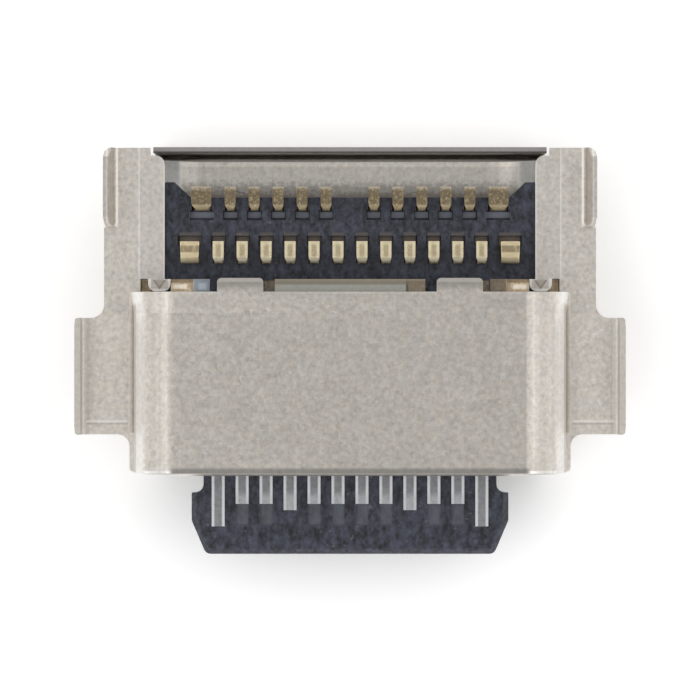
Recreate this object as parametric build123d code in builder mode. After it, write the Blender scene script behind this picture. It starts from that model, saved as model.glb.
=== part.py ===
from build123d import *
import os

os.makedirs("parts", exist_ok=True)

# A reversible charging port that sits in a cut-out of a circuit board, in millimetres.
# X runs across the port, Y from its mouth to its rear, and Z from the flat top
# cover that it lies on up to the side that is soldered.

# Mouth, between the walls of the drawn shell
mouth_width = 8.34
mouth_height = 2.56

# Sheet thicknesses
shell_sheet = 0.20
cover_sheet = 0.12
contact_sheet = 0.12
mid_sheet = 0.12
ground_sheet = 0.10

# Clearance between the moulding and the metal around it
seat_gap = 0.02

# Shares of the space beside the contacts, up to the middle of each wide foot and
# up to the edge of each lip
tail_share = 0.42
window_share = 0.785

# Contacts and their solder feet
contact_count = 12
contact_pitch = 0.50
contact_width = 0.25
contact_neck = 0.20
contact_proud = 0.02
contact_bend = 0.09
jog_start = 3.10
jog_length = 0.50
foot_width = 0.23
foot_flare = 0.10
wide_foot_width = 0.42
wide_foot_shift = 0.35
front_foot_start = 4.35
front_foot_length = 0.46
rear_foot_start = 5.46
rear_foot_length = 0.49
dip_start = 3.45
dip_length = 0.25
dip_cover = 0.14

# Distance from the tip of the tongue to the front of each kind of contact
tip_to_ground = 0.58
tip_to_power = 0.92
tip_to_signal = 1.05
tip_to_groove = 0.60
groove_depth = 0.03

# Tongue
tongue_reach = 1.72
tongue_length = 4.45
tongue_thickness = 0.70
tongue_margin = 0.435
tip_length = 0.70
tip_inset = 0.30
tip_corner = 0.15
tip_chamfer = 0.12
notch_start = 1.27
notch_length = 1.15
notch_depth = 0.26
notch_fillet = 0.22
root_step_length = 1.30
root_step_height = 0.12

# Moulded base behind the tongue
rear_wall_of_base = 0.15
arm_length = 0.32
arm_width = 0.48
arm_slope = 0.34
pocket_length = 0.20
pocket_depth = 0.20
pocket_margin = 0.04
toe_overhang = 0.08

# Moulded inserts that hold each row of contacts
insert_start = 2.90
insert_length = 0.45
insert_cover = 0.20
insert_web = 0.04
insert_margin = 0.15

# Mid plate between the two rows of contacts
mid_tip = 0.28
mid_inset = 0.12
mid_length = 4.90
mid_notch_proud = 0.04
tail_width = 0.41
tail_neck = 0.28
tail_bridge = 0.40
anchor_diameter = 0.60
anchor_count = 2
anchor_spacing = 2.80
anchor_from_root = 0.60

# Ground plates on the root of the tongue
ground_length = 1.10
ground_margin = 0.30
ground_rise = 0.35
ground_tab_width = 0.90
ground_tab_shift = 2.10

# Inner shell
shell_reach = 0.05
mouth_chamfer = 0.06
tube_length = 3.70
trough_setback = 0.02
shell_tab_length = 0.30
centre_tab_width = 3.10
side_tab_width = 0.82
side_tab_shift = 3.29
lip_start = 4.02
lip_overhang = 0.03
lip_corner_share = 0.65
lip_edge = 0.05
lip_tail_width = 0.20
lip_tab_inset = 0.16
lip_tab_width = 0.47
lip_tab_length = 0.26
lip_tab_corner = 0.16

# Top cover with its soldering flange
solder_offset = 0.38
cover_corner = 0.88
top_plate_length = 6.57
flange_overhang = 0.19
flange_reach = 0.64
flange_root = 0.27
flange_corner = 0.18
gutter = 0.11
gutter_start = 0.82
sill_corner = 0.08
ear_reach = 0.58
ear_start = 0.78
ear_length = 2.43
ear_corner = 0.06
ear_front_fillet = 0.25
ear_rear_fillet = 0.28
leg_bend = 0.13
leg_height = 0.60
leg_chamfer = 0.20
rear_leg_start = 5.10
rear_leg_height = 0.42
rear_leg_lean = 0.10

# Rear wall, folded down from the top plate on two necks
rear_wall_gap = 0.11
rear_wall_bend = 0.10
rear_wall_height = 1.45
neck_start = 1.97
neck_width = 0.83
neck_ease = 0.05
fold_groove_depth = 0.08

# Pressed panels on the top plate
panel_start = 1.33
panel_width = 2.08
panel_front = 4.94
panel_length = 1.05
panel_corner = 0.20
panel_depth = 0.03

# Bottom cover
bottom_length = 3.74
flare_length = 0.44
flare = 0.05
bottom_tab_start = 1.78
bottom_tab_width = 0.95
bottom_tab_length = 0.28
bottom_tab_corner = 0.09

# Heights above the top cover's outer face
total_height = mouth_height + 2 * (shell_sheet + cover_sheet)
mid_height = total_height / 2
solder_height = mid_height + solder_offset
flange_back = solder_height - cover_sheet
gutter_floor = solder_height - gutter
lip_under = solder_height - shell_sheet
base_top = lip_under - 2 * seat_gap
tongue_top = mid_height + tongue_thickness / 2
tongue_bottom = mid_height - tongue_thickness / 2
upper_row_height = tongue_bottom + contact_sheet / 2 - contact_proud
lower_row_height = tongue_top - contact_sheet / 2 + contact_proud
dip_height = base_top - dip_cover - contact_sheet / 2
knee_height = (dip_height + solder_height) / 2

# Half widths, each measured from the middle of the port
mouth_half = mouth_width / 2
shell_half = mouth_half + shell_sheet
cover_half = shell_half + cover_sheet
sill_half = cover_half + gutter
flange_half = cover_half + flange_reach
ear_half = flange_half + ear_reach
leg_root = cover_sheet + leg_bend
ear_root = ear_half - leg_root
rear_leg_root = flange_half - rear_leg_lean - leg_root
lip_tail_half = shell_half - lip_tail_width
rear_wall_half = lip_tail_half - 2 * seat_gap
row_half = (contact_count - 1) / 2 * contact_pitch
end_space = mouth_half - row_half
tail_centre = row_half + tail_share * end_space
window_half = row_half + window_share * end_space
tongue_half = row_half + contact_width / 2 + tongue_margin
lip_corner = lip_corner_share * (lip_tail_half - window_half)
lip_tab_outer = shell_half - lip_tab_inset
lip_tab_inner = lip_tab_outer - lip_tab_width
insert_half = row_half + contact_width / 2 + insert_margin
arm_half = mouth_half - seat_gap - arm_width

# Stations behind the front edge of the covers
tip = -tongue_reach
root = tip + tongue_length
front_foot_end = front_foot_start + front_foot_length
rear_foot_end = rear_foot_start + rear_foot_length
base_rear = rear_foot_start + contact_sheet + rear_wall_of_base
arm_rear = base_rear + arm_length
ear_end = ear_start + ear_length
flare_start = bottom_length - flare_length
lip_tab_tip = lip_start - lip_tab_length
flange_length = top_plate_length + flange_overhang
trough_length = top_plate_length - trough_setback
lip_end = top_plate_length + lip_overhang
rear_wall_face = top_plate_length + rear_wall_gap
rear_face = rear_wall_face + cover_sheet
mid_end = tip + mid_length
insert_end = insert_start + insert_length

# Reach of a cut that passes right through the port
through = 4 * ear_half


def block(left, right, front, rear, low, high):
    """A plain block between six planes, kept apart from the part that uses it."""
    centre = ((left + right) / 2, (front + rear) / 2, (low + high) / 2)
    return Pos(*centre) * Box(right - left, rear - front, high - low, mode=Mode.PRIVATE)


def both_sides(piece):
    """A piece and its mirror image across the middle of the port."""
    return [piece, piece.mirror(Plane.YZ)]


def cross_section(station):
    """The plane across the port at one station, whose extrusions run to its front."""
    return Plane.XZ.offset(-station)


def outline(plane, *corners, mirrored=False):
    """A face through corners given as (x, y) when sharp or (x, y, radius)."""
    with BuildSketch(plane) as face:
        with BuildLine():
            Polyline(*[corner[:2] for corner in corners], close=True)
        make_face()
        for x, y, *radius in corners:
            if any(radius):
                fillet(vertices().sort_by_distance((x, y))[0], radius[0])
        if mirrored:
            mirror(about=Plane.YZ)
    return face.sketch


def bent_leg(flat_edge, outer, lean, start, end, reach):
    """A leg bent up from the flange towards the circuit board."""
    leg_tip = solder_height + reach
    profile = outline(
        cross_section(end),
        (flat_edge - cover_sheet, flange_back),
        (outer - lean, flange_back, leg_root),
        (outer, leg_tip),
        (outer - cover_sheet, leg_tip),
        (outer - lean - cover_sheet, solder_height, leg_bend),
        (flat_edge - cover_sheet, solder_height),
    )
    with BuildPart() as leg:
        extrude(profile, amount=end - start)
        tip_corners = leg.edges().filter_by(Axis.X).group_by(Axis.Z)[-1]
        chamfer(tip_corners, leg_chamfer)
    return leg.part


# Top cover: a hat section whose brim is the soldering flange
ear_leg = bent_leg(ear_root, ear_half, 0, ear_start, ear_end, leg_height)
rear_leg = bent_leg(
    rear_leg_root, flange_half, rear_leg_lean, rear_leg_start, flange_length, rear_leg_height
)

hat_section = outline(
    cross_section(flange_length),
    (0, 0),
    (cover_half, 0, cover_corner),
    (cover_half, flange_back, flange_root),
    (rear_leg_root, flange_back),
    (rear_leg_root, solder_height),
    (shell_half, solder_height),
    (shell_half, cover_sheet, cover_corner - cover_sheet),
    (0, cover_sheet),
    mirrored=True,
)
flat_of_flange = outline(
    Plane.XY.offset(flange_back),
    (sill_half, 0),
    (ear_root, 0),
    (ear_root, ear_end + ear_rear_fillet),
    (flange_half, ear_end + ear_rear_fillet),
    (flange_half, rear_leg_start),
    (rear_leg_root, rear_leg_start),
    (rear_leg_root, flange_length),
    (sill_half, flange_length),
    mirrored=True,
)
trimmed_outline = outline(
    Plane.XY,
    (0, 0),
    (sill_half, 0, sill_corner),
    (sill_half, ear_start, ear_front_fillet),
    (ear_half, ear_start, ear_corner),
    (ear_half, ear_end, ear_corner),
    (flange_half, ear_end, ear_rear_fillet),
    (flange_half, flange_length, flange_corner),
    (0, flange_length),
    mirrored=True,
)
wall_fold = outline(
    Plane.YZ.offset(-rear_wall_half),
    (top_plate_length - rear_wall_gap, 0),
    (rear_face, 0, rear_wall_bend + cover_sheet),
    (rear_face, rear_wall_height),
    (rear_wall_face, rear_wall_height),
    (rear_wall_face, cover_sheet, rear_wall_bend),
    (top_plate_length - rear_wall_gap, cover_sheet),
)
with BuildPart() as top_cover:
    # Top plate, side walls and the flange out to the bends of its legs
    extrude(hat_section, amount=flange_length)
    extrude(flat_of_flange, amount=cover_sheet)
    add(both_sides(ear_leg) + both_sides(rear_leg))
    extrude(trimmed_outline, amount=through, mode=Mode.INTERSECT)
    # The plate and its walls stop short of the flange's rear edge
    add(
        block(-through, through, top_plate_length, through, -through, flange_back),
        mode=Mode.SUBTRACT,
    )
    # Rebate that the bottom cover stands in, and a rounded gutter beside it
    rebate = block(shell_half, cover_half, 0, bottom_length, gutter_floor, solder_height)
    add(both_sides(rebate), mode=Mode.SUBTRACT)
    with BuildSketch(cross_section(bottom_length)):
        with BuildLine():
            Line((cover_half, solder_height), (cover_half, gutter_floor))
            RadiusArc((cover_half, gutter_floor), (sill_half, solder_height), gutter)
            Line((sill_half, solder_height), (cover_half, solder_height))
        make_face()
        mirror(about=Plane.YZ)
    extrude(amount=bottom_length - gutter_start, mode=Mode.SUBTRACT)
    # Rear wall folded down from the plate, thinned along its fold between two necks
    extrude(wall_fold, amount=2 * rear_wall_half)
    with BuildSketch(Plane.XY):
        groove_middle = (top_plate_length + rear_face) / 2
        groove_width = rear_face - top_plate_length
        side_groove = rear_wall_half - neck_start - neck_width
        with Locations((0, groove_middle)):
            RectangleRounded(2 * neck_start, groove_width, neck_ease)
        for side in (-1, 1):
            with Locations((side * (rear_wall_half + neck_ease - side_groove / 2), groove_middle)):
                RectangleRounded(side_groove + 2 * neck_ease, groove_width, neck_ease)
    extrude(amount=fold_groove_depth, mode=Mode.SUBTRACT)
    # Two shallow pressed panels
    with BuildSketch(Plane.XY):
        for side in (-1, 1):
            with Locations((side * (panel_start + panel_width / 2), panel_front + panel_length / 2)):
                RectangleRounded(panel_width, panel_length, panel_corner)
    extrude(amount=panel_depth, mode=Mode.SUBTRACT)


def bottom_section(station, growth):
    """Section of the bottom cover at one station, filled down to its lower edge."""
    half = cover_half + growth
    crown = total_height + growth
    corner = cover_corner + growth
    return outline(
        cross_section(station),
        (-half, gutter_floor),
        (-half, crown, corner),
        (half, crown, corner),
        (half, gutter_floor),
    )


# Bottom cover: a shallow trough with a flared rear edge and two tabs
with BuildPart() as bottom_cover:
    for growth, layer in ((0, Mode.ADD), (-cover_sheet, Mode.SUBTRACT)):
        extrude(bottom_section(flare_start, growth), amount=flare_start, mode=layer)
        loft(
            [bottom_section(flare_start, growth), bottom_section(bottom_length, growth + flare)],
            mode=layer,
        )
    with BuildSketch(Plane.XY.offset(total_height + flare - cover_sheet)):
        for side in (-1, 1):
            with Locations((side * (bottom_tab_start + bottom_tab_width / 2), bottom_length)):
                Rectangle(bottom_tab_width, 2 * bottom_tab_length)
        fillet(vertices().group_by(Axis.Y)[-1], bottom_tab_corner)
        with Locations((0, bottom_length - bottom_tab_length)):
            Rectangle(2 * cover_half, 2 * bottom_tab_length, mode=Mode.SUBTRACT)
    extrude(amount=cover_sheet)
    # The lower edge of the flare is shaped to the rounded edge of the flange
    add(top_cover.part, mode=Mode.SUBTRACT)


# Lips folded in from the sides of the trough to hold the moulding down
lip_section = outline(
    cross_section(flange_length),
    (shell_half, mid_height),
    (shell_half, solder_height),
    (lip_tab_inner, solder_height),
    (lip_tab_inner, lip_under),
    (mouth_half, lip_under, lip_edge),
    (mouth_half, mid_height),
)
lip_outline = outline(
    Plane.XY,
    (window_half, lip_start),
    (lip_tab_inner, lip_start),
    (lip_tab_inner, lip_tab_tip, lip_tab_corner),
    (lip_tab_outer, lip_tab_tip, lip_tab_corner),
    (lip_tab_outer, lip_start),
    (shell_half, lip_start),
    (shell_half, flange_length),
    (lip_tail_half, flange_length),
    (lip_tail_half, lip_end),
    (window_half, lip_end, lip_corner),
)
with BuildPart() as lip:
    extrude(lip_section, amount=flange_length - lip_tab_tip)
    extrude(lip_outline, amount=through, mode=Mode.INTERSECT)
    add(block(-through, through, trough_length, through, 0, lip_under), mode=Mode.SUBTRACT)

# Inner shell: a drawn tube at the mouth and an open trough behind it
with BuildPart() as inner_shell:
    with BuildSketch(cross_section(trough_length)):
        with Locations((0, mid_height)):
            SlotOverall(2 * shell_half, mouth_height + 2 * shell_sheet)
    extrude(amount=trough_length + shell_reach)
    with BuildSketch(cross_section(trough_length)):
        with Locations((0, mid_height)):
            SlotOverall(mouth_width, mouth_height)
    extrude(amount=trough_length + shell_reach, mode=Mode.SUBTRACT)
    mouth_rim = inner_shell.faces().sort_by(Axis.Y)[0].inner_wires()[0]
    chamfer(mouth_rim.edges(), mouth_chamfer)
    # Behind the tube its soldered side is cut away, apart from three short tabs
    with BuildSketch(Plane.XY.offset(mid_height)):
        with Locations((0, tube_length)):
            Rectangle(through, through, align=(Align.CENTER, Align.MIN))
            Rectangle(centre_tab_width, 2 * shell_tab_length, mode=Mode.SUBTRACT)
        with Locations((-side_tab_shift, tube_length), (side_tab_shift, tube_length)):
            Rectangle(side_tab_width, 2 * shell_tab_length, mode=Mode.SUBTRACT)
    extrude(amount=through, mode=Mode.SUBTRACT)
    add(both_sides(lip.part))


def tongue_outline(plane, half, waist, front, rear, corner, notch_corner):
    """Outline of the tongue, or of the plate inside it, with its latch notches."""
    notch_front = tip + notch_start
    notch_rear = notch_front + notch_length
    return outline(
        plane,
        (0, front),
        (half - tip_inset, front, corner),
        (half, front + tip_length, corner),
        (half, notch_front),
        (waist, notch_front, notch_corner),
        (waist, notch_rear, notch_corner),
        (half, notch_rear),
        (half, rear),
        (0, rear),
        mirrored=True,
    )


def formed_strip(path, foot_start, foot_end, sheet):
    """Side view of a strip that runs along a path, then up and over into its foot."""
    rise = foot_start + sheet / 2
    foot_height = solder_height - sheet / 2
    with BuildSketch(Plane.YZ) as side_view:
        with BuildLine():
            Polyline(*path, (rise, path[-1][1]), (rise, knee_height))
            FilletPolyline(
                (rise, knee_height), (rise, foot_height), (foot_end, foot_height), radius=contact_bend
            )
        trace(line_width=sheet)
    return side_view.sketch


# Mid plate, whose notched edges the latches of the plug catch
mid_half = tongue_half - mid_inset
mid_waist = tongue_half - notch_depth + mid_notch_proud
mid_side_view = formed_strip([(tip, mid_height)], front_foot_start, front_foot_end, mid_sheet)
tail_outline = outline(
    Plane.XY,
    (tail_centre - tail_neck / 2, mid_end),
    (tail_centre + tail_neck / 2, mid_end),
    (tail_centre + tail_width / 2, front_foot_end),
    (tail_centre - tail_width / 2, front_foot_end),
    mirrored=True,
)
with BuildPart() as mid_plate:
    extrude(mid_side_view, amount=through, both=True)
    with BuildSketch(Plane.XY):
        add(tongue_outline(Plane.XY, mid_half, mid_waist, tip + mid_tip, mid_end, 0, 0))
        with Locations((0, mid_end)):
            Rectangle(2 * tail_centre + tail_width, tail_bridge, align=(Align.CENTER, Align.MAX))
        add(tail_outline)
    extrude(amount=through, mode=Mode.INTERSECT)
    with Locations((0, root - anchor_from_root, mid_height)):
        with GridLocations(anchor_spacing, 0, anchor_count, 1):
            Hole(anchor_diameter / 2)


def contact(path, root_x, foot_x, tip_gap, foot_start, foot_end, width_of_foot):
    """One contact strip: its formed side view, cut to its outline from above."""
    front = tip + tip_gap
    half = contact_width / 2
    side_view = formed_strip([(front, path[0][1]), *path[1:]], foot_start, foot_end, contact_sheet)
    stations = [
        (front, root_x, half),
        (jog_start, root_x, half),
        (jog_start + jog_length, foot_x, contact_neck / 2),
        (foot_start - foot_flare, foot_x, contact_neck / 2),
        (foot_start, foot_x, width_of_foot / 2),
        (foot_end, foot_x, width_of_foot / 2),
    ]
    left_edge = [(x - reach, y) for y, x, reach in stations]
    right_edge = [(x + reach, y) for y, x, reach in reversed(stations)]
    with BuildPart() as strip:
        extrude(side_view, amount=through, both=True)
        with BuildSketch(Plane.XY):
            with BuildLine():
                Polyline(*left_edge, *right_edge, close=True)
            make_face()
        extrude(amount=through, mode=Mode.INTERSECT)
    return strip.part


# Paths of the two rows, from the tongue to where their feet rise
upper_path = [(tip, upper_row_height)]
lower_path = [
    (tip, lower_row_height),
    (dip_start, lower_row_height),
    (dip_start + dip_length, dip_height),
]

# Ground contacts are the outermost ones, with a power contact three places in
ground_places = (0, contact_count - 1)
power_places = (3, contact_count - 4)
upper_contacts = []
lower_contacts = []
groove_lengths = []
front_pockets = [(-tail_centre, tail_width), (tail_centre, tail_width)]
rear_pockets = []
for place in range(contact_count):
    x = (place - (contact_count - 1) / 2) * contact_pitch
    outward = 1 if x > 0 else -1
    is_ground = place in ground_places
    if is_ground:
        tip_gap = tip_to_ground
    elif place in power_places:
        tip_gap = tip_to_power
    else:
        tip_gap = tip_to_signal
    groove_lengths.append((x, tip_gap - tip_to_groove if tip_gap == tip_to_signal else 0))
    foot_x = x + outward * (wide_foot_shift if is_ground else contact_pitch / 2)
    upper_width = wide_foot_width if is_ground else foot_width
    upper_contacts.append(
        contact(upper_path, x, foot_x, tip_gap, rear_foot_start, rear_foot_end, upper_width)
    )
    lower_contacts.append(
        contact(lower_path, x, x, tip_gap, front_foot_start, front_foot_end, foot_width)
    )
    front_pockets.append((x, foot_width))
    rear_pockets.append((foot_x, upper_width))


def insert(low, high, row):
    """Moulded bar round one row of contacts, inside the base."""
    with BuildPart() as bar:
        add(block(-insert_half, insert_half, insert_start, insert_end, low, high))
        add(row, mode=Mode.SUBTRACT)
    return bar.part


upper_insert = insert(
    tongue_bottom - insert_cover, mid_height - mid_sheet / 2 - insert_web, upper_contacts
)
lower_insert = insert(
    mid_height + mid_sheet / 2 + insert_web, tongue_top + insert_cover, lower_contacts
)

# Ground plates: an angle on the root of the tongue, with two tabs up to the shell
ground_half = tongue_half - ground_margin
ground_seat = tongue_top + root_step_height
ground_top = mid_height + mouth_height / 2 - seat_gap
with BuildPart() as lower_ground_plate:
    with BuildSketch(Plane.YZ.offset(-ground_half)):
        with BuildLine():
            FilletPolyline(
                (root - ground_length, ground_seat + ground_sheet / 2),
                (root - ground_sheet / 2, ground_seat + ground_sheet / 2),
                (root - ground_sheet / 2, ground_top),
                radius=ground_sheet,
            )
        trace(line_width=ground_sheet)
    extrude(amount=2 * ground_half)
    with BuildSketch(Plane.XZ):
        with Locations((0, ground_seat + ground_rise)):
            Rectangle(through, through, align=(Align.CENTER, Align.MIN))
        for side in (-1, 1):
            with Locations((side * ground_tab_shift, ground_seat)):
                Rectangle(
                    ground_tab_width, through, align=(Align.CENTER, Align.MIN), mode=Mode.SUBTRACT
                )
    extrude(amount=through, both=True, mode=Mode.SUBTRACT)
upper_ground_plate = lower_ground_plate.part.mirror(Plane.XY.offset(mid_height))

# Tongue, apart from the base behind it
with BuildPart() as tongue:
    level = Plane.XY.offset(tongue_bottom)
    extrude(
        tongue_outline(
            level, tongue_half, tongue_half - notch_depth, tip, root, tip_corner, notch_fillet
        ),
        amount=tongue_thickness,
    )
    chamfer(tongue.edges().filter_by(Axis.X).group_by(Axis.Y)[0], tip_chamfer)

# Bay between the rear arms of the base
rear_bay = outline(
    Plane.XY,
    (0, base_rear),
    (arm_half - arm_slope, base_rear),
    (arm_half, arm_rear),
    (0, arm_rear),
    mirrored=True,
)

# Moulding: tongue, root step and base in one piece round all that it holds
with BuildPart() as moulding:
    with BuildSketch(cross_section(arm_rear)):
        with Locations((0, mid_height)):
            SlotOverall(mouth_width - 2 * seat_gap, mouth_height - 2 * seat_gap)
    extrude(amount=arm_rear - root)
    add(tongue.part)
    step_low = tongue_bottom - root_step_height
    step_high = tongue_top + root_step_height
    add(block(-tongue_half, tongue_half, root - root_step_length, root, step_low, step_high))
    # Lower behind the tube, and open between its two rear arms
    add(block(-through, through, tube_length, through, base_top, through), mode=Mode.SUBTRACT)
    extrude(rear_bay, amount=through, mode=Mode.SUBTRACT)
    # Pockets under the toes of the front feet and ahead of the rear feet
    pocket_rows = (
        (front_pockets, front_foot_end - toe_overhang, Align.MIN),
        (rear_pockets, rear_foot_start, Align.MAX),
    )
    for pockets, station, along in pocket_rows:
        for x, width in pockets:
            with Locations((x, station, base_top)):
                Box(
                    width + 2 * pocket_margin,
                    pocket_length,
                    pocket_depth,
                    align=(Align.CENTER, along, Align.MAX),
                    mode=Mode.SUBTRACT,
                )
    # Shallow grooves in both faces of the tongue, ahead of the signal contacts
    for x, groove_length in groove_lengths:
        if groove_length > 0:
            for face in (tongue_bottom, tongue_top):
                with Locations((x, tip + tip_to_groove, face)):
                    Box(
                        contact_width,
                        groove_length,
                        2 * groove_depth,
                        align=(Align.CENTER, Align.MIN, Align.CENTER),
                        mode=Mode.SUBTRACT,
                    )
    add(
        upper_contacts + lower_contacts + [upper_insert, lower_insert, mid_plate.part],
        mode=Mode.SUBTRACT,
    )


# Every piece and the name that it is written under
pieces = {
    "top_cover": top_cover.part,
    "bottom_cover": bottom_cover.part,
    "inner_shell": inner_shell.part,
    "tongue_moulding": moulding.part,
    "mid_plate": mid_plate.part,
    "upper_ground_plate": upper_ground_plate,
    "lower_ground_plate": lower_ground_plate.part,
    "upper_contact_insert": upper_insert,
    "lower_contact_insert": lower_insert,
}
for number in range(contact_count):
    pieces[f"upper_contact_{number + 1:02d}"] = upper_contacts[number]
    pieces[f"lower_contact_{number + 1:02d}"] = lower_contacts[number]

# Written with the origin under the middle of the whole port
middle = (tip + rear_face) / 2
for name, piece in pieces.items():
    centred = Pos(0, -middle, 0) * piece
    centred.label = name
    export_step(centred, f"parts/{name}.step")
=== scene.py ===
import math

import bmesh
import bpy
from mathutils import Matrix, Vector


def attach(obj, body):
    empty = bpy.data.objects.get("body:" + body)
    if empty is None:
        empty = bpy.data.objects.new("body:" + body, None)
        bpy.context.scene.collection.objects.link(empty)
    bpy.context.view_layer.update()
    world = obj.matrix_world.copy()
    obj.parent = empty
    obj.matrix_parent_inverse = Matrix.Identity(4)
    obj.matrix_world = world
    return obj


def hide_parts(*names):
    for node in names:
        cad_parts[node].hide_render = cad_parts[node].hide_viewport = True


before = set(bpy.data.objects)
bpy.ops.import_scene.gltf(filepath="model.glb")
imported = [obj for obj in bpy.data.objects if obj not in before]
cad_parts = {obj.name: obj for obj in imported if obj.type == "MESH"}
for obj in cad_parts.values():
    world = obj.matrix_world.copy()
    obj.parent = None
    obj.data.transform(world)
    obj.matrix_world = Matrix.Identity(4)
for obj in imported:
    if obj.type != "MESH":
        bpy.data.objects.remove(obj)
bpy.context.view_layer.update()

# Lengths are in millimetres. A station is the distance behind the front edge of the
# covers, which lies at FRONT along Y.
MM = 0.001
FRONT = -2.54
SOLDER_LEVEL = 1.98

# Heights just outside the two faces of the flange, the station of the bottom cover's
# rear edge, and a half width that just takes in the rear wall
FLANGE_BAND = (1.84, 2.02)
COVER_REAR = 3.74
WALL_END = 4.15

# Widths of the worn edges, the angle of a sharp edge and the angle of a flat one
COVER_EDGE = 0.030
PLATE_EDGE = 0.025
CONTACT_EDGE = 0.014
MOULDING_EDGE = 0.010
SHARP = math.radians(32)
FLAT = math.radians(0.6)

# Contacts: the strips on both faces of the tongue, and the stations of their tips
CONTACT_COUNT = 12
CONTACT_PITCH = 0.50
CONTACT_WIDTH = 0.27
CONTACT_SHEET = 0.12
UPPER_LEVEL = 1.29
LOWER_LEVEL = 1.91
TIPS = {"Ground Tip": -1.14, "Power Tip": -0.80, "Signal Tip": -0.67}

# Contacts: the stations of the jog behind the tongue, where the strips are narrower,
# and the lower row's way down to the base as stations and heights
JOG = (3.10, 3.60)
NECK_WIDTH = 0.20
LOWER_DIP = [(3.45, LOWER_LEVEL), (JOG[1], 1.688), (3.70, 1.54)]

# Contacts: the bend up through the base
BEND_RADIUS = 0.09
BEND_STEPS = 8
RUN_IN = 0.02

# Contacts: the solder feet, from their fronts to their ends, and their rounded toes
FRONT_FOOT = (4.35, 4.81)
REAR_FOOT = (5.46, 5.95)
FOOT_WIDTH = 0.23
FOOT_FLARE = 0.10
FOOT_LEVEL = SOLDER_LEVEL - CONTACT_SHEET / 2
FOOT_RISE = (SOLDER_LEVEL - 0.24, SOLDER_LEVEL - 0.10)
OUTER_REAR_FOOT_WIDTH = 0.42
OUTER_REAR_FOOT_SHIFT = 0.35
TOE_ROUNDING = 0.16
TOE_BLUNTNESS = 0.96


# Nodes


class Signal:
    """The output of a node, used in expressions as a number is."""

    def __init__(self, tree, socket):
        self.tree = tree
        self.socket = socket

    def _math(self, operation, *values):
        node = self.tree.nodes.new("ShaderNodeMath")
        node.operation = operation
        for slot, value in zip(node.inputs, values):
            connect(self.tree, slot, value)
        return Signal(self.tree, node.outputs[0])

    def __add__(self, other):
        return self._math("ADD", self, other)

    def __radd__(self, other):
        return self._math("ADD", other, self)

    def __sub__(self, other):
        return self._math("SUBTRACT", self, other)

    def __rsub__(self, other):
        return self._math("SUBTRACT", other, self)

    def __mul__(self, other):
        return self._math("MULTIPLY", self, other)

    def __rmul__(self, other):
        return self._math("MULTIPLY", other, self)

    def __truediv__(self, other):
        return self._math("DIVIDE", self, other)

    def __abs__(self):
        return self._math("ABSOLUTE", self)

    def root(self):
        return self._math("SQRT", self)

    def sign(self):
        return self._math("SIGN", self)

    def fraction(self):
        return self._math("FRACT", self)

    def least(self, other):
        return self._math("MINIMUM", self, other)

    def most(self, other):
        return self._math("MAXIMUM", self, other)

    def above(self, edge, softness):
        """0 below an edge and 1 above it, changing smoothly over a softness."""
        return self._ramp("SMOOTHSTEP", edge - softness / 2, edge + softness / 2, 0.0, 1.0)

    def below(self, edge, softness):
        """1 below an edge and 0 above it, changing smoothly over a softness."""
        return self._ramp("SMOOTHSTEP", edge - softness / 2, edge + softness / 2, 1.0, 0.0)

    def between(self, low, high, softness):
        """1 between two edges and 0 outside them, with the same softness at both."""
        return self.above(low, softness) * self.below(high, softness)

    def rise(self, low, high):
        """0 up to the low value and 1 past the high value, in a straight line."""
        return self._ramp("LINEAR", low, high, 0.0, 1.0)

    def _ramp(self, shape, low, high, at_low, at_high):
        node = self.tree.nodes.new("ShaderNodeMapRange")
        node.interpolation_type = shape
        node.clamp = True
        for slot, value in zip(node.inputs, (self, low, high, at_low, at_high)):
            connect(self.tree, slot, value)
        return Signal(self.tree, node.outputs[0])


def connect(tree, slot, value):
    """Links a signal to a socket, or sets the socket to a plain value."""
    if isinstance(value, Signal):
        tree.links.new(value.socket, slot)
    else:
        slot.default_value = value


class Graph:
    """A tree of shader nodes or geometry nodes."""

    def __init__(self, tree):
        self.tree = tree

    def node(self, kind, settings=None, sockets=None, output=0):
        """Adds a node of a kind, with its settings first and then its sockets."""
        node = self.tree.nodes.new(kind)
        for setting, value in (settings or {}).items():
            setattr(node, setting, value)
        for socket, value in (sockets or {}).items():
            connect(self.tree, node.inputs[socket], value)
        return Signal(self.tree, node.outputs[output])

    def axes(self, vector):
        """The three parts of a vector."""
        node = self.tree.nodes.new("ShaderNodeSeparateXYZ")
        connect(self.tree, node.inputs[0], vector)
        return [Signal(self.tree, output) for output in node.outputs]


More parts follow.
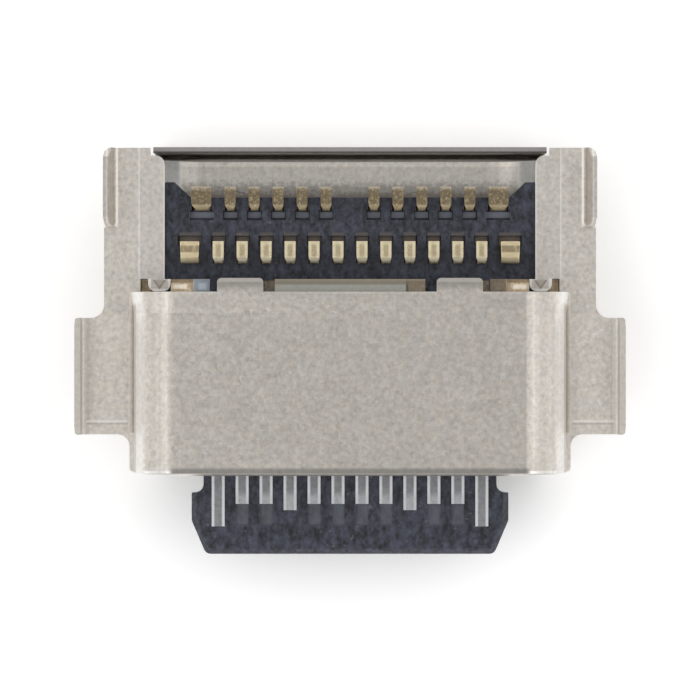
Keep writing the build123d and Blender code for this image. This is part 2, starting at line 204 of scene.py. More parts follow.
class Finish(Graph):
    """A material with one surface shader, whose sockets take values or signals."""

    def __init__(self, name, **sockets):
        self.material = bpy.data.materials.new(name)
        self.material.use_nodes = True
        super().__init__(self.material.node_tree)
        self.surface = self.tree.nodes["Principled BSDF"]
        place = self.node("ShaderNodeTexCoord", output="Object")
        self.place = self.node(
            "ShaderNodeVectorMath", {"operation": "SCALE"}, {0: place, "Scale": 1 / MM}
        )
        self.x, self.y, self.z = self.axes(self.place)
        self.side = abs(self.x)
        self.station = self.y - FRONT
        for socket, value in sockets.items():
            self.feed(socket, value)

    def feed(self, socket, value):
        """Gives a value or a signal to a socket of the surface shader."""
        connect(self.tree, self.surface.inputs[socket.replace("_", " ")], value)

    def noise(self, grains_per_mm, detail=2.0, roughness=0.5, stretch=None, seed=0.0):
        """Noise between about -0.5 and 0.5, with so many grains to a millimetre."""
        place = self.place
        if stretch:
            place = self.node(
                "ShaderNodeVectorMath", {"operation": "MULTIPLY"}, {0: place, 1: stretch}
            )
        value = self.node(
            "ShaderNodeTexNoise",
            {"noise_dimensions": "4D"},
            {
                "Vector": place,
                "W": seed,
                "Scale": grains_per_mm,
                "Detail": detail,
                "Roughness": roughness,
            },
        )
        return value - 0.5

    def blend(self, factor, first, second):
        """A colour from the first to the second as the factor goes from 0 to 1."""
        return self.node(
            "ShaderNodeMix",
            {"data_type": "RGBA", "clamp_factor": True},
            {0: factor, 6: first, 7: second},
            output=2,
        )

    def from_contact(self, shift=0.0):
        """Distance from the middle of the nearest contact, as a share of the pitch."""
        return abs((self.x / CONTACT_PITCH + shift).fraction() - 0.5)

    def relief(self, height, depth):
        """Bumps of the given depth in millimetres for heights between 0 and 1."""
        bump = self.node("ShaderNodeBump", None, {"Height": height, "Distance": depth * MM})
        self.feed("Normal", bump)


def colour(red, green, blue):
    """A solid colour from its three linear values."""
    return (red, green, blue, 1.0)


# Finishes


class Sheet(Finish):
    """Satin plating with the fine mottled grain of rolled sheet."""

    def __init__(self, name, dark, light, gloss):
        super().__init__(name)
        self.grain = self.noise(10.5, 3.0, 0.65)
        self.cloud = self.noise(1.9, 2.0, 0.5, seed=3.0)
        self.pits = self.noise(6.5, 1.0, 0.4, seed=11.0).above(0.20, 0.06)
        drift = self.noise(0.32, 1.0, 0.5, seed=7.0)
        tone = 0.5 + self.grain * 2.3 + self.cloud * 0.25 + drift * 0.12 - self.pits * 0.3
        hue = 0.5 + self.noise(6.0, 2.0, 0.5, seed=21.0) * 1.6
        warmth = self.blend(hue, colour(1.03, 1.0, 0.955), colour(0.975, 1.0, 1.035))
        plating = self.blend(tone, dark, light)
        self.colour = self.node(
            "ShaderNodeVectorMath", {"operation": "MULTIPLY"}, {0: plating, 1: warmth}
        )
        self.metal = 1.0
        self.gloss = gloss + self.cloud * 0.05 + self.grain * 0.10
        self.height = self.grain + 0.5 - self.pits * 0.5

    def tint(self, where, strength, red, green, blue):
        """Turns the plating towards a colour, as far as a mask and a strength say."""
        self.colour = self.blend(where * strength, self.colour, colour(red, green, blue))

    def shade(self, where, gain):
        """Multiplies the plating's brightness by a gain where a mask is 1, mostly as painted light
        and shade.
        """
        scale = 1 + where * (gain - 1)
        self.colour = self.node(
            "ShaderNodeVectorMath", {"operation": "SCALE"}, {0: self.colour, "Scale": scale}
        )

    def matt(self, where, strength, red, green, blue):
        """Turns the plating to a matt colour that paints the light and shade of steep and bent
        places.
        """
        self.tint(where, strength, red, green, blue)
        self.shade(where * strength, 1 + self.grain * 0.6)
        self.metal = self.metal * (1 - where * strength)

    def finished(self):
        """Feeds the surface with what the marks have made of the plating."""
        self.feed("Metallic", self.metal)
        self.feed("Base_Color", self.colour)
        self.feed("Roughness", self.gloss)
        self.relief(self.height, 0.0035)
        return self.material


def top_cover_plating():
    """Plating of the cover with the flange, the ears, the rear legs and the rear wall."""
    dark = colour(0.51, 0.478, 0.435)
    light = colour(0.755, 0.71, 0.655)
    sheet = Sheet("satin_top_cover", dark, light, 0.30)
    side = sheet.side
    behind = sheet.station
    flange = sheet.z.between(*FLANGE_BAND, 0.03)
    flange_and_up = sheet.z.above(FLANGE_BAND[0], 0.03)
    sheet.gloss = sheet.gloss + 0.13 * flange
    # Ears: painted lighter, with a painted highlight on a rolled line near the edge and painted
    # shade on each side of it
    ear = behind.below(3.3, 0.1) * sheet.z.above(1.80, 0.03)
    sheet.shade(ear * side.between(4.62, 5.44, 0.06), 1.10)
    sheet.matt(ear * side.above(5.50, 0.04), 0.75, 0.70, 0.665, 0.615)
    sheet.matt(ear * side.between(5.455, 5.525, 0.02), 0.6, 0.56, 0.53, 0.49)
    sheet.matt(ear * side.above(5.585, 0.02), 0.85, 0.47, 0.44, 0.395)
    sheet.matt(ear * side.between(5.54, 5.58, 0.025), 0.85, 0.86, 0.83, 0.785)
    # A line coined across each ear: a painted highlight with painted shade ahead of it
    coined = flange * side.between(4.64, 5.50, 0.04)
    sheet.tint(coined * behind.between(1.035, 1.075, 0.03), 0.75, 0.90, 0.87, 0.83)
    sheet.tint(coined * behind.between(0.985, 1.015, 0.03), 0.5, 0.36, 0.34, 0.31)
    # A painted highlight on the fold line along the flange
    fold_line_highlight = flange * side.between(4.35, 4.415, 0.05) * behind.above(4.05, 0.05)
    sheet.tint(fold_line_highlight, 0.5, 0.90, 0.87, 0.83)
    # The rebate beside the bottom cover, with painted light over its shade
    rebate = flange_and_up * side.between(4.475, 4.60, 0.03) * behind.below(COVER_REAR, 0.04)
    sheet.matt(rebate, 0.8, 0.78, 0.74, 0.685)
    # A painted highlight on the rolled edge of the flange along it
    rolled = flange_and_up * side.between(4.595, 4.63, 0.02) * behind.between(0.84, 3.2, 0.06)
    sheet.matt(rolled, 0.4, 0.82, 0.79, 0.74)
    # Rear legs: painted speckled shade in a hollow, and a painted highlight on the rolled rim
    # round its front end
    past_front = (5.22 - behind).most(0.0)
    from_hollow = ((side - 4.955) * (side - 4.955) + past_front * past_front).root()
    leg = sheet.z.above(1.93, 0.02)
    speckle = sheet.noise(15.0, 2.0, 0.6, seed=9.0)
    sheet.tint(leg * from_hollow.below(0.075, 0.02), 0.38 + speckle * 0.9, 0.34, 0.31, 0.28)
    sheet.tint(leg * from_hollow.between(0.08, 0.115, 0.015), 0.45, 0.90, 0.87, 0.82)
    # The cut end of the rear wall, tinted grey, with painted shadow along its inner edge
    across_wall = side.below(WALL_END, 0.02)
    wall = across_wall * behind.above(6.64, 0.02) * sheet.z.between(1.40, 1.75, 0.04)
    sheet.tint(wall, 0.8, 0.34, 0.335, 0.33)
    sheet.tint(wall * behind.below(6.71, 0.03), 0.85, 0.05, 0.045, 0.04)
    # The bend of that wall: painted light up to the end of the trough and painted shadow in the
    # gap behind it
    fold = across_wall * sheet.z.below(1.38, 0.04)
    sheet.tint(fold * behind.between(6.57, 6.70, 0.03), 0.6, 0.12, 0.11, 0.10)
    sheet.matt(fold * behind.between(6.44, 6.56, 0.02), 0.95, 0.96, 0.93, 0.89)
    return sheet.finished()


def bottom_cover_plating():
    """Plating of the cover over the front of the soldered side, with its two tabs."""
    dark = colour(0.50, 0.467, 0.425)
    light = colour(0.73, 0.685, 0.63)
    sheet = Sheet("satin_bottom_cover", dark, light, 0.30)
    side = sheet.side
    behind = sheet.station
    # The front edge: painted shade between the shoulders and a painted highlight on them
    front = sheet.z.above(2.6, 0.2) * behind.below(0.105, 0.08) * side.below(3.68, 0.1)
    sheet.tint(front, 0.75, 0.26, 0.245, 0.23)
    sheet.matt(behind.below(0.05, 0.04) * side.above(3.7, 0.1), 0.9, 0.93, 0.90, 0.86)
    # Painted shade on the flared rear
    sheet.shade(behind.between(3.30, 4.1, 0.04) * side.below(3.6, 0.2), 0.95)
    # Shoulders: painted light and shade that evens out the lamps' highlights on them
    sheet.shade(side.between(3.88, 4.08, 0.12), 0.80)
    sheet.shade(sheet.x.between(-3.93, -3.79, 0.06), 0.86)
    sheet.shade(sheet.x.between(-4.25, -4.10, 0.08), 1.04)
    sheet.shade(sheet.x.between(3.63, 3.80, 0.06), 1.32)
    sheet.shade(sheet.x.between(4.07, 4.20, 0.06), 0.94)
    # Matt painted light where they turn steeply down
    sheet.matt(side.above(4.27, 0.12), 0.85, 0.86, 0.83, 0.785)
    # Painted shade in the gutter beside them, and a painted highlight on the flared corners
    sheet.matt(side.above(4.43, 0.03) * behind.below(3.5, 0.2), 0.9, 0.50, 0.455, 0.40)
    sheet.matt(side.above(4.36, 0.05) * behind.above(3.5, 0.1), 0.85, 0.95, 0.93, 0.89)
    # Tabs: painted shade up to a painted highlight on a rolled rim, which runs on along the rear
    # edge
    tab = side.between(1.77, 2.74, 0.02) * sheet.z.above(2.8, 0.1)
    sheet.tint(tab * behind.above(3.83, 0.16), 0.6, 0.30, 0.285, 0.262)
    sheet.tint(tab * behind.above(3.94, 0.03), 0.8, 0.60, 0.565, 0.52)
    # Painted shade on the tabs' sides
    tab_side = behind.above(3.76, 0.03) * side.below(1.82, 0.02).most(side.above(2.69, 0.02))
    sheet.tint(tab * tab_side, 0.4, 0.52, 0.485, 0.43)
    rim = behind.between(3.70, 3.73, 0.02) * side.below(3.6, 0.1)
    sheet.tint(rim * (1 - tab), 0.3, 0.80, 0.77, 0.73)
    # Shading of a shallow arch ahead of the rear edge
    arch = side.between(2.75, 3.62, 0.10) * behind.between(3.40, 3.60, 0.08)
    sheet.tint(arch, 0.22, 0.40, 0.37, 0.33)
    return sheet.finished()


def shell_plating():
    """Plating of the drawn shell: its lips, short tabs, front edge and trough."""
    dark = colour(0.535, 0.502, 0.46)
    light = colour(0.75, 0.71, 0.66)
    sheet = Sheet("satin_shell", dark, light, 0.33)
    side = sheet.side
    behind = sheet.station
    lip = sheet.z.between(1.90, 2.02, 0.03)
    sheet.gloss = sheet.gloss + 0.06 * lip
    # The small tab at the front of each lip: painted highlight round it and painted brown shade in
    # its hollow
    tab = lip * side.between(3.72, 4.24, 0.02) * behind.between(COVER_REAR, 4.03, 0.02)
    face = side.between(3.80, 4.15, 0.03) * behind.above(3.82, 0.03)
    sheet.tint(tab * (1 - face), 0.9, 0.96, 0.93, 0.88)
    notch = (behind - 3.80) * 0.7 - abs(side - 3.975)
    hollow = lip * behind.below(4.0, 0.02)
    sheet.tint(hollow * notch.above(0.0, 0.02), 0.65, 0.24, 0.175, 0.125)
    sheet.tint(hollow * notch.above(0.045, 0.03), 0.75, 0.56, 0.52, 0.48)
    rim = lip * behind.above(4.00, 0.03) * side.between(3.84, 3.895, 0.02)
    sheet.tint(rim, 0.6, 0.86, 0.83, 0.79)
    # The centre tab in the narrow gap behind the bottom cover: darker greenish grey, with brown
    # marks and a dark line
    gap = behind.between(3.71, 4.0, 0.02)
    centre = gap * side.below(1.6, 0.05) * sheet.z.above(2.7, 0.1)
    sheet.tint(centre, 0.75, 0.325, 0.337, 0.30)
    mark = sheet.noise(14.0, 2.0, 0.6, seed=41.0)
    sheet.tint(centre * sheet.x.above(1.19, 0.03), 0.75 + mark, 0.24, 0.17, 0.10)
    sheet.tint(centre * sheet.x.between(1.15, 1.20, 0.02), 0.8, 0.07, 0.065, 0.06)
    # Brown and tan bands towards its rear
    sheet.tint(centre * behind.above(3.885, 0.03), 0.7, 0.235, 0.20, 0.15)
    sheet.tint(centre * behind.above(3.96, 0.03), 0.6, 0.38, 0.315, 0.23)
    # The tabs beside it: dark brown round a brown arch with darker marks, and dark blue-grey on
    # its inner side
    low_tab = gap * sheet.z.above(2.3, 0.1)
    slope = behind - 3.72
    sheet.tint(low_tab * side.above(3.215, 0.02), 0.85, 0.22, 0.17, 0.11)
    arch = (side - slope * 0.35).above(3.25, 0.03) * (side + slope * 0.35).below(3.74, 0.03)
    sheet.tint(low_tab * arch, 0.8, 0.50, 0.41, 0.28)
    sheet.tint(low_tab * arch * mark.above(0.02, 0.1), 0.45, 0.22, 0.15, 0.08)
    # A painted highlight on the arch, and painted shade at its end
    bright = side.between(3.36, 3.64, 0.06) * behind.between(3.80, 3.89, 0.03)
    sheet.tint(low_tab * bright, 0.65, 0.74, 0.68, 0.60)
    arch_end_shade = low_tab * side.above(3.23, 0.02) * behind.above(3.925, 0.03)
    sheet.tint(arch_end_shade, 0.75, 0.15, 0.105, 0.065)
    inner = low_tab * side.between(2.5, 3.215, 0.02)
    sheet.tint(inner, 0.85, 0.15, 0.185, 0.23)
    # A painted glint on the blue-grey, and brown marks on the right-hand tab
    glint = side.between(2.95, 3.12, 0.08) * behind.between(3.78, 3.92, 0.06)
    sheet.tint(inner * glint, 0.6, 0.44, 0.48, 0.52)
    sheet.tint(inner * sheet.x.above(0.0, 0.1), 0.85 - mark, 0.19, 0.14, 0.085)
    # Painted brown shade in the low corners at both ends of the gap, with paler spots
    corner_shade = gap * side.above(3.6, 0.05) * sheet.z.below(1.75, 0.05)
    sheet.tint(corner_shade, 0.8, 0.30, 0.21, 0.11)
    sheet.tint(corner_shade * mark.above(0.0, 0.1), 0.6, 0.60, 0.48, 0.32)
    # The front edge: painted shade between the shoulders and a matt painted highlight round them
    edge = behind.below(-0.02, 0.03)
    sheet.tint(edge * side.below(3.2, 0.3) * sheet.z.above(2.4, 0.2), 0.8, 0.13, 0.125, 0.12)
    sheet.matt(edge * side.above(3.35, 0.2), 0.8, 0.94, 0.92, 0.89)
    # The trough's floor: painted lighter, most towards the rear wall, and darker and ragged where
    # it leaves the moulding
    trough = behind.above(5.6, 0.1) * sheet.z.below(1.3, 0.2)
    raggedness = sheet.noise(12.0, 3.0, 0.65, seed=31.0)
    sheet.shade(trough, 1.05)
    sheet.shade(trough * behind.above(6.44, 0.06), 1.25)
    sheet.shade(trough * (behind + raggedness * 0.45).below(6.07, 0.22), 0.60)
    sheet.tint(trough * (behind + raggedness * 0.5).below(5.88, 0.14), 0.6, 0.17, 0.14, 0.11)
    # Painted shade over a lamp's reflection near its sides, and matt painted light on its steep
    # sides
    sheet.shade(trough * side.between(3.08, 3.58, 0.12), 0.76)
    sheet.matt(trough * side.above(3.60, 0.14), 1.0, 0.96, 0.94, 0.90)
    return sheet.finished()


def black_moulding():
    """Blue-black moulded plastic with a blotchy skin and tool grain."""
    finish = Finish("black_moulding", Specular_IOR_Level=0.45)
    flow = finish.noise(1.6, 3.0, 0.6, stretch=(1.0, 0.5, 1.0))
    patches = finish.noise(7.5, 3.0, 0.6, stretch=(1.0, 0.6, 1.0), seed=8.0)
    grain = finish.noise(12.0, 2.0, 0.6, seed=2.0)
    dust = finish.noise(8.0, 1.0, 0.5, seed=5.0).above(0.22, 0.05)
    tone = 0.44 + flow * 1.1 + patches * 2.6 + grain * 1.3
    base = finish.blend(tone, colour(0.006, 0.006, 0.009), colour(0.062, 0.069, 0.102))
    # Paler pads ahead of the signal contacts, where the strips were trimmed
    column = finish.from_contact().below(0.26, 0.05)
    pads = column * finish.station.between(-1.13, -0.66, 0.03) * finish.side.below(2.5, 0.05)
    power = abs(finish.side - 1.25).below(0.2, 0.02)
    trimmed = pads * (1 - power) * (0.7 + patches)
    base = finish.blend(trimmed, base, colour(0.105, 0.112, 0.135))
    # Pockets behind the front feet: a painted brown reflection of the gold, then painted shade
    front_pocket = column.most(abs(finish.side - 3.35).below(0.22, 0.04))
    front_pocket = front_pocket * finish.side.below(3.6, 0.1)
    behind_front = finish.station.between(4.74, 5.00, 0.06)
    gold_reflection = colour(0.30, 0.24, 0.19)
    pocket_shade = colour(0.085, 0.077, 0.072)
    brown = finish.blend(finish.station.above(4.92, 0.03), gold_reflection, pocket_shade)
    base = finish.blend(front_pocket * behind_front * 0.9, base, brown)
    # Pockets ahead of the rear feet: painted pale over their shade
    rear_column = finish.from_contact(shift=0.5).below(0.27, 0.05)
    rear_column = rear_column * finish.side.between(0.3, 2.7, 0.05)
    rear_pocket = rear_column.most(abs(finish.side - 3.10).below(0.25, 0.04))
    ahead_of_rear = finish.station.between(5.31, 5.43, 0.03)
    base = finish.blend(rear_pocket * ahead_of_rear * 0.9, base, colour(0.26, 0.28, 0.34))
    # Brown marks beside two tabs of the inner shell
    mark = finish.x.between(-1.79, -1.57, 0.03).most(finish.x.between(2.75, 2.91, 0.03))
    mark = mark * finish.station.between(3.60, 3.99, 0.03) * finish.z.above(1.7, 0.1)
    base = finish.blend(mark * (0.75 + grain * 1.5), base, colour(0.25, 0.20, 0.135))
    finish.feed("Base_Color", finish.blend(dust * 0.4, base, colour(0.17, 0.17, 0.185)))
    finish.feed("Roughness", 0.46 + grain * 0.2 + patches * 0.24)
    finish.relief(grain * 0.6 + patches + flow + 0.5, 0.006)
    return finish.material


def gold_plating(name, rear_row):
    """Gold on the feet, with bare grey metal where the strips lie on the tongue."""
    finish = Finish(name)
    grain = finish.noise(13.0, 2.0, 0.6)
    speckle = finish.noise(24.0, 2.0, 0.65, seed=4.0)
    if rear_row:
        gold = finish.blend(0.5 + grain * 1.6, colour(0.36, 0.28, 0.15), colour(0.70, 0.59, 0.38))
        brown = speckle.above(-0.10, 0.25) * finish.station.between(5.545, 5.93, 0.08)
        foot_gold = finish.blend(brown * 0.75, gold, colour(0.13, 0.10, 0.07))
        ragged = (finish.station + speckle * 0.35).above(5.90, 0.03)
        foot_gold = finish.blend(ragged * 0.7, foot_gold, colour(0.66, 0.58, 0.46))
        rim = 0.0
        bend_end = 5.57
    else:
        gold = finish.blend(0.5 + grain * 1.4, colour(0.76, 0.64, 0.39), colour(0.97, 0.88, 0.65))
        middle_of_foot = finish.from_contact().below(0.105, 0.09)
        # A painted highlight on the rounded toe of each front foot
        toe = finish.station.between(4.39, 4.49, 0.03)
        gold = finish.blend(toe * 0.9, gold, colour(1.0, 0.90, 0.66))
        patch = middle_of_foot * finish.station.between(4.485, 4.74, 0.09)
        foot_gold = finish.blend(patch * (0.7 + speckle * 1.2), gold, colour(0.475, 0.385, 0.235))
        rim = (1 - middle_of_foot) * 0.5
        bend_end = 4.46
    # Strips on the tongue: darker grey in the middle, with painted highlights along their edges
    middle = finish.from_contact().below(0.16, 0.06)
    core = finish.blend(0.5 + grain * 1.4, colour(0.18, 0.18, 0.19), colour(0.34, 0.34, 0.36))
    strip = finish.blend(middle, colour(0.80, 0.81, 0.82), core)
    tip = finish.station.below(-0.47, 0.2) * finish.side.below(2.5, 0.05)
    strip = finish.blend(tip * (0.5 + speckle), strip, colour(0.60, 0.61, 0.63))
    on_tongue = finish.station.below(2.0, 0.1)
    finish.feed("Base_Color", finish.blend(on_tongue, foot_gold, strip))
    # The bend at the front of each foot is matt, and so is the bare metal
    bend = finish.station.below(bend_end, 0.04) * 0.75
    finish.feed("Metallic", 1 - (1 - on_tongue) * bend.most(rim) - on_tongue * middle * 0.8)
    finish.feed("Roughness", 0.30 + grain * 0.14 + speckle * 0.10)
    finish.relief(grain + 0.5, 0.003)
    return finish.material


def stamped_plate():
    """Plain stamped steel that turns gold towards its soldered tails."""
    finish = Finish("stamped_plate")
    grain = finish.noise(9.0, 2.0, 0.6)
    behind = finish.station
    steel = finish.blend(0.5 + grain, colour(0.48, 0.46, 0.43), colour(0.68, 0.66, 0.62))
    gold = finish.blend(0.5 + grain * 1.4, colour(0.70, 0.58, 0.34), colour(0.92, 0.80, 0.55))
    # A painted shaded band across the gold tails
    streaks = finish.noise(16.0, 2.0, 0.6, stretch=(1.0, 0.3, 1.0), seed=6.0).above(-0.05, 0.15)
    shaded_band = behind.between(4.58, 4.72, 0.03) * (0.45 + streaks * 0.3)
    gold = finish.blend(shaded_band, gold, colour(0.26, 0.20, 0.12))
    finish.feed("Base_Color", finish.blend(behind.above(3.3, 0.2), steel, gold))
    finish.feed("Metallic", 1 - behind.between(4.0, 4.46, 0.04) * 0.7)
    finish.feed("Roughness", 0.32 + grain * 0.15)
    finish.relief(grain + 0.5, 0.003)
    return finish.material


# Pieces


def added(name, data):
    """A new object that holds the given data, linked into the scene."""
    item = bpy.data.objects.new(name, data)
    bpy.context.scene.collection.objects.link(item)
    return item


def break_edges(piece, rim):
    """Rounds a piece's sharp edges to a width, as stamping and moulding leave them."""
    piece.data.set_sharp_from_angle(angle=SHARP)
    edges = piece.modifiers.new("broken_edges", "BEVEL")
    edges.width = rim * MM
    edges.segments = 2
    edges.limit_method = "ANGLE"
    edges.angle_limit = SHARP
    edges.harden_normals = True
    edges.use_clamp_overlap = True


def stand_for(piece, slot, *nodes):
    """Hands over a piece that takes the place of solids, which it hides; its slot is not used."""
    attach(piece, "root")
    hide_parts(*nodes)


def trimmed_copy(node, finish, slot, rim):
    """A copy of a solid with flat faces in one piece and its sharp edges broken."""
    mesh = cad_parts[node].data.copy()
    mesh.name = f"{node}_trimmed"
    mesh.materials.clear()
    mesh.materials.append(finish)
    shape = bmesh.new()
    shape.from_mesh(mesh)
    bmesh.ops.remove_doubles(shape, verts=shape.verts, dist=MM / 10000)
    bmesh.ops.dissolve_limit(
        shape,
        angle_limit=FLAT,
        verts=shape.verts,
        edges=shape.edges,
        use_dissolve_boundaries=False,
    )
    for face in shape.faces:
        face.smooth = True
        face.material_index = 0
    shape.to_mesh(mesh)
    shape.free()
    piece = added(f"{node}_trimmed", mesh)
    break_edges(piece, rim)
    stand_for(piece, slot, node)


def paint(node, finish):
    """Gives a finish to a solid that stays as it is."""
    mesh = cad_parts[node].data
    mesh.materials.clear()
    mesh.materials.append(finish)


# Rows of contacts


ROW_INPUTS = {
    "Path": "NodeSocketGeometry",
    "Count": "NodeSocketInt",
    "Pitch": "NodeSocketFloat",
    "Strip Width": "NodeSocketFloat",
    "Neck Width": "NodeSocketFloat",
    "Thickness": "NodeSocketFloat",
    "Bend Radius": "NodeSocketFloat",
    "Ground Tip": "NodeSocketFloat",
    "Power Tip": "NodeSocketFloat",
    "Signal Tip": "NodeSocketFloat",
    "Jog Start": "NodeSocketFloat",
    "Jog End": "NodeSocketFloat",
    "Foot Start": "NodeSocketFloat",
    "Foot Flare": "NodeSocketFloat",
    "Foot Width": "NodeSocketFloat",
    "Foot Shift": "NodeSocketFloat",
    "Outer Foot Width": "NodeSocketFloat",
    "Outer Foot Shift": "NodeSocketFloat",
    "Toe Rounding": "NodeSocketFloat",
    "Material": "NodeSocketMaterial",
}

# Measures that each strip of a row keeps for itself while the row is made
OWN_SIZES = ("root_x", "tip", "shift", "foot_width")


def contact_row_tree():
    """Geometry nodes for a row of strips along a path, each with its own outline."""
    tree = bpy.data.node_groups.new("contact_row", "GeometryNodeTree")
    graph = Graph(tree)
    for name, kind in ROW_INPUTS.items():
        tree.interface.new_socket(name, in_out="INPUT", socket_type=kind)
    tree.interface.new_socket("Row", in_out="OUTPUT", socket_type="NodeSocketGeometry")
    entry = tree.nodes.new("NodeGroupInput")
    given = {name: Signal(tree, entry.outputs[name]) for name in ROW_INPUTS}

    # One strip: a rectangle carried along the path, with a rounded bend at its foot
    curve = graph.node("GeometryNodeMeshToCurve", None, {"Mesh": given["Path"]})
    curve = graph.node(
        "GeometryNodeFilletCurve",
        {"mode": "POLY"},
        {
            "Curve": curve,
            "Count": BEND_STEPS,
            "Radius": given["Bend Radius"],
            "Limit Radius": True,
        },
    )
    profile = graph.node(
        "GeometryNodeCurvePrimitiveQuadrilateral",
        None,
        {"Width": given["Strip Width"], "Height": given["Thickness"]},
    )
    strip = graph.node(
        "GeometryNodeCurveToMesh",
        None,
        {"Curve": curve, "Profile Curve": profile, "Fill Caps": True},
    )

    # Where each strip lies, and what its place in the row makes of it: the ground
    # contacts are the outermost ones, and the power contacts the fourth from each end
    first_x = (1 - given["Count"]) / 2 * given["Pitch"]
    start = graph.node("ShaderNodeCombineXYZ", None, {"X": first_x})
    step = graph.node("ShaderNodeCombineXYZ", None, {"X": given["Pitch"]})
    row = graph.node(
        "GeometryNodeMeshLine",
        {"mode": "OFFSET"},
        {"Count": given["Count"], "Start Location": start, "Offset": step},
    )
    index = graph.node("GeometryNodeInputIndex")
    from_end = index.least(given["Count"] - 1 - index)
    ground = from_end.below(0.5, 0.1)
    power = from_end.between(2.5, 3.5, 0.1)
    root_x = graph.axes(graph.node("GeometryNodeInputPosition"))[0]
    signal_tip = given["Signal Tip"]
    tip = signal_tip
    tip += ground * (given["Ground Tip"] - signal_tip)
    tip += power * (given["Power Tip"] - signal_tip)
    shift = given["Foot Shift"] + ground * (given["Outer Foot Shift"] - given["Foot Shift"])
    foot_width = given["Foot Width"] + ground * (given["Outer Foot Width"] - given["Foot Width"])
    for name, value in zip(OWN_SIZES, (root_x, tip, root_x.sign() * shift, foot_width)):
        row = graph.node(
            "GeometryNodeStoreNamedAttribute",
            {"data_type": "FLOAT", "domain": "POINT"},
            {"Geometry": row, "Name": name, "Value": value},
        )
    strips = graph.node("GeometryNodeInstanceOnPoints", None, {"Points": row, "Instance": strip})
    strips = graph.node("GeometryNodeRealizeInstances", None, {"Geometry": strips})

    # The outline from above: the strip, a jog with a narrow neck, and the foot
    own = {
        name: graph.node("GeometryNodeInputNamedAttribute", {"data_type": "FLOAT"}, {"Name": name})
        for name in OWN_SIZES
    }
    x, y, z = graph.axes(graph.node("GeometryNodeInputPosition"))
    jog = y.rise(given["Jog Start"], given["Jog End"])
    flare = y.rise(given["Foot Start"] - given["Foot Flare"], given["Foot Start"])
    width = given["Strip Width"]
    width += jog * (given["Neck Width"] - given["Strip Width"])
    width += flare * (own["foot_width"] - given["Neck Width"])
    toe = (given["Foot Start"] + given["Toe Rounding"] - y) / given["Toe Rounding"]
    toe = toe.most(0.0).least(1.0)
    above_base = z.rise(FOOT_RISE[0] * MM, FOOT_RISE[1] * MM)
    rounding = 1 - above_base * jog * (1 - (1 - toe * toe * TOE_BLUNTNESS).root())
    across = (x - own["root_x"]) * width / given["Strip Width"] * rounding
    outline = graph.node(
        "ShaderNodeCombineXYZ",
        None,
        {"X": own["root_x"] + own["shift"] * jog + across, "Y": y.most(own["tip"]), "Z": z},
    )
    strips = graph.node("GeometryNodeSetPosition", None, {"Geometry": strips, "Position": outline})
    strips = graph.node(
        "GeometryNodeSetMaterial", None, {"Geometry": strips, "Material": given["Material"]}
    )
    result = tree.nodes.new("NodeGroupOutput")
    tree.links.new(strips.socket, result.inputs["Row"])
    return tree


def contact_row(name, tree, path, sizes, finish, node_names):
    """One row of contacts, made by the tree from its path and its own sizes."""
    line = bpy.data.meshes.new(f"{name}_path")
    points = [(0.0, (FRONT + station) * MM, height * MM) for station, height in path]
    line.from_pydata(points, [(place, place + 1) for place in range(len(points) - 1)], [])
    maker = added(f"{name}_maker", line)
    nodes = maker.modifiers.new("contact_row", "NODES")
    nodes.node_group = tree
    for socket in tree.interface.items_tree:
        if socket.in_out == "INPUT" and socket.name in sizes:
            nodes[socket.identifier] = sizes[socket.name]
        elif socket.name == "Material":
            nodes[socket.identifier] = finish
    view = bpy.context.evaluated_depsgraph_get()
    mesh = bpy.data.meshes.new_from_object(maker.evaluated_get(view), depsgraph=view)
    mesh.name = name
    maker.modifiers.remove(nodes)
    bpy.data.objects.remove(maker)
    for attribute in OWN_SIZES:
        mesh.attributes.remove(mesh.attributes[attribute])
    shape = bmesh.new()
    shape.from_mesh(mesh)
    bmesh.ops.recalc_face_normals(shape, faces=shape.faces)
    for face in shape.faces:
        face.smooth = True
    shape.to_mesh(mesh)
    shape.free()
    piece = added(name, mesh)
    break_edges(piece, CONTACT_EDGE)
    stand_for(piece, "contact_plating", *node_names)


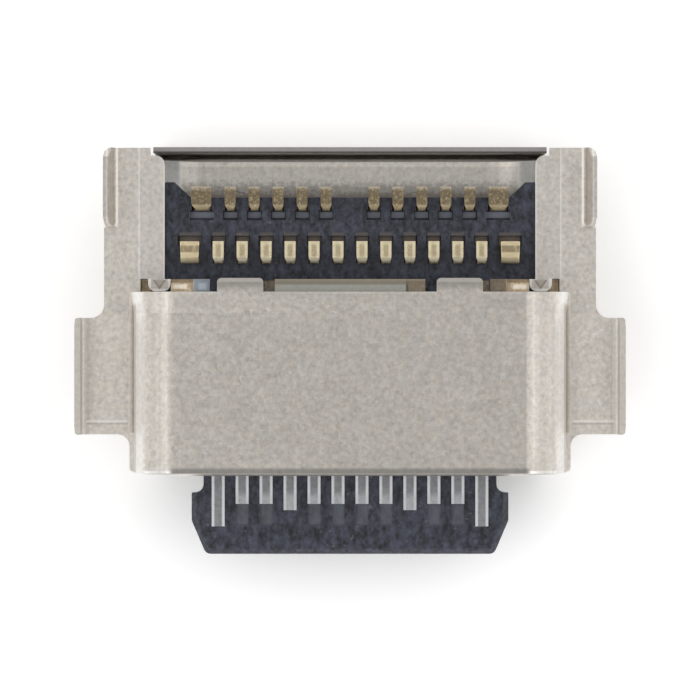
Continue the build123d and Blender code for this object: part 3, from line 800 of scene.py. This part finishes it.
def contact_rows():
    """The rear row from the tongue's face below, and the front row from the one above."""
    tree = contact_row_tree()
    shared = {
        "Count": CONTACT_COUNT,
        "Pitch": CONTACT_PITCH * MM,
        "Strip Width": CONTACT_WIDTH * MM,
        "Neck Width": NECK_WIDTH * MM,
        "Thickness": CONTACT_SHEET * MM,
        "Bend Radius": BEND_RADIUS * MM,
        "Jog Start": (FRONT + JOG[0]) * MM,
        "Jog End": (FRONT + JOG[1]) * MM,
        "Foot Flare": FOOT_FLARE * MM,
        "Foot Width": FOOT_WIDTH * MM,
        "Toe Rounding": TOE_ROUNDING * MM,
    }
    shared.update({name: (FRONT + tip) * MM for name, tip in TIPS.items()})
    rows = {
        "upper_contact": {
            "path": [(place, UPPER_LEVEL) for place in (*JOG, REAR_FOOT[0] - FOOT_FLARE)],
            "foot": REAR_FOOT,
            "finish": gold_plating("rear_foot_gold", True),
            "shifts": (CONTACT_PITCH / 2, OUTER_REAR_FOOT_WIDTH, OUTER_REAR_FOOT_SHIFT),
        },
        "lower_contact": {
            "path": [(JOG[0], LOWER_LEVEL), *LOWER_DIP],
            "foot": FRONT_FOOT,
            "finish": gold_plating("front_foot_gold", False),
            "shifts": (0.0, FOOT_WIDTH, 0.0),
        },
    }
    # Each path runs back from the tips, then up through the base and along the feet
    for name, row in rows.items():
        first = row["path"][0][1]
        last = row["path"][-1][1]
        foot_start, foot_end = row["foot"]
        rise = foot_start + CONTACT_SHEET / 2
        path = [(TIPS["Ground Tip"], first), *row["path"], (foot_start - RUN_IN, last)]
        path += [(rise, last), (rise, FOOT_LEVEL), (foot_end, FOOT_LEVEL)]
        shift, outer_width, outer_shift = row["shifts"]
        sizes = {
            **shared,
            "Foot Start": (FRONT + foot_start) * MM,
            "Foot Shift": shift * MM,
            "Outer Foot Width": outer_width * MM,
            "Outer Foot Shift": outer_shift * MM,
        }
        nodes = [f"{name}_{number:02d}" for number in range(1, CONTACT_COUNT + 1)]
        contact_row(f"{name}_row", tree, path, sizes, row["finish"], nodes)


moulding = black_moulding()
plate = stamped_plate()
trimmed_copy("top_cover", top_cover_plating(), "cover_sheet", COVER_EDGE)
trimmed_copy("bottom_cover", bottom_cover_plating(), "cover_sheet", COVER_EDGE)
trimmed_copy("inner_shell", shell_plating(), "shell_sheet", COVER_EDGE)
trimmed_copy("tongue_moulding", moulding, "moulding", MOULDING_EDGE)
trimmed_copy("mid_plate", plate, "inner_plate", PLATE_EDGE)
contact_rows()
for node in ("upper_ground_plate", "lower_ground_plate"):
    paint(node, plate)
for node in ("upper_contact_insert", "lower_contact_insert"):
    paint(node, moulding)


# Stage


def white_floor():
    """A pale floor that shows as white, and keeps the shadow of what lies on it."""
    finish = Finish("white_floor")
    camera = finish.node("ShaderNodeLightPath", output="Is Camera Ray")
    glossy = finish.node("ShaderNodeLightPath", output="Is Glossy Ray")
    clear = finish.node("ShaderNodeLightPath", output="Is Transmission Ray")
    seen = (camera + glossy + clear).least(1.0)
    shade = finish.blend(seen, colour(0.80, 0.80, 0.80), colour(1.22, 1.22, 1.22))
    matt = finish.node("ShaderNodeBsdfDiffuse", None, {"Color": shade})
    output = finish.tree.nodes["Material Output"]
    connect(finish.tree, output.inputs["Surface"], matt)
    half = 0.6
    mesh = bpy.data.meshes.new("white_floor")
    corners = [(-half, -half, 0.0), (half, -half, 0.0), (half, half, 0.0), (-half, half, 0.0)]
    mesh.from_pydata(corners, [], [(0, 1, 2, 3)])
    mesh.materials.append(finish.material)
    floor = added("white_floor", mesh)


def studio_world():
    """A white tent that is darker straight above, where the camera looks in."""
    world = bpy.data.worlds.new("white_tent")
    bpy.context.scene.world = world
    world.use_nodes = True
    graph = Graph(world.node_tree)
    direction = graph.node("ShaderNodeTexCoord", output="Generated")
    upward = graph.axes(direction)[2]
    tent = 0.90 - upward.above(0.93, 0.09) * 0.285
    camera = graph.node("ShaderNodeLightPath", output="Is Camera Ray")
    background = graph.tree.nodes["Background"]
    connect(graph.tree, background.inputs["Color"], colour(1.0, 1.0, 1.0))
    connect(graph.tree, background.inputs["Strength"], tent * (1 - camera) + camera)


def soft_lamp(name, place, power):
    """A wide lamp that points at the part, with its place in metres."""
    lamp = bpy.data.lights.new(name, "AREA")
    lamp.shape = "RECTANGLE"
    lamp.size = 0.30
    lamp.size_y = 0.24
    lamp.energy = power
    carrier = added(name, lamp)
    carrier.location = place
    aim = Vector((0.0, 0.0, 0.0)) - Vector(place)
    carrier.rotation_euler = aim.to_track_quat("-Z", "Y").to_euler()


def camera_above():
    """A long lens straight above the soldered side, with the mouth at the bottom."""
    lens = bpy.data.cameras.new("camera")
    lens.lens = 200.0
    lens.sensor_width = 36.0
    lens.clip_start = 0.001
    carrier = added("camera", lens)
    view_width = 14.6 * MM
    distance = view_width * lens.lens / lens.sensor_width
    carrier.location = (0.0, 0.0, SOLDER_LEVEL * MM + distance)
    bpy.context.scene.camera = carrier


white_floor()
studio_world()
soft_lamp("key_lamp", (-0.16, -0.10, 0.22), 0.14)
soft_lamp("fill_lamp", (0.20, 0.06, 0.16), 0.08)
camera_above()
bpy.context.scene.view_settings.view_transform = "Standard"
